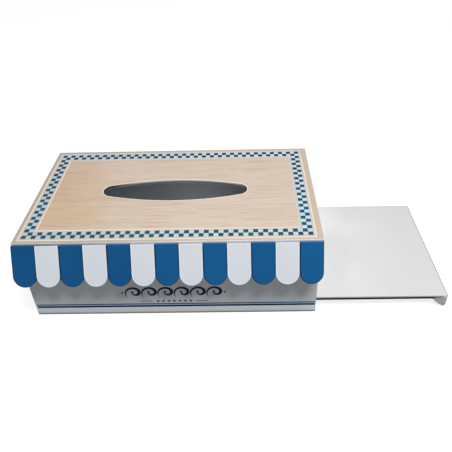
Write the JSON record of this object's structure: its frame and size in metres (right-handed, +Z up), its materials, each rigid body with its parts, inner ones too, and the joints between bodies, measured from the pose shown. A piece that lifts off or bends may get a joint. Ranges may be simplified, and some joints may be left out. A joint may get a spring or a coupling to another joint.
{
  "type": "tissue box with drawer",
  "caption": "Long tissue box with an oval slot in its wooden top, a striped scalloped awning along the front, and a flat base that slides out to the side.",
  "frame": {"origin": "on the table, at the middle of the whole footprint, from the box's left end to the finger pull of the half-open drawer and from the awning's tips to the back of the top panel", "axes": "+X along the box's length, the way the drawer opens; +Y from the awning to the back; +Z up"},
  "size_m": [0.3806, 0.1599, 0.09],
  "materials": {
    "wood_top": "pale wood face under satin lacquer, with a printed check border and white painted edges",
    "white_paint": "fibreboard in satin white paint",
    "bare_strip": "planed softwood, unfinished",
    "blue_slat": "fibreboard in satin blue paint",
    "white_slat": "fibreboard in satin white paint"
  },
  "bodies": {
    "box": {"top_panel": "wood_top", "front_wall": "white_paint", "back_wall": "white_paint", "left_wall": "white_paint", "right_wall": "white_paint", "front_runner": "bare_strip", "back_runner": "bare_strip", "front_guide": "bare_strip", "back_guide": "bare_strip", "awning_batten": "white_paint", "awning_slat_01": "blue_slat", "awning_slat_02": "white_slat", "awning_slat_03": "blue_slat", "awning_slat_04": "white_slat", "awning_slat_05": "blue_slat", "awning_slat_06": "white_slat", "awning_slat_07": "blue_slat", "awning_slat_08": "white_slat", "awning_slat_09": "blue_slat", "awning_slat_10": "white_slat", "awning_slat_11": "blue_slat", "awning_slat_12": "white_slat", "awning_slat_13": "blue_slat"},
    "drawer": {"drawer_panel": "white_paint", "finger_pull": "white_paint"}
  },
  "joints": [
    {"name": "drawer_slide", "type": "slide", "parent": "box", "child": "drawer", "axis": [1, 0, 0], "range_m": [-0.1208, 0.1]}
  ]
}
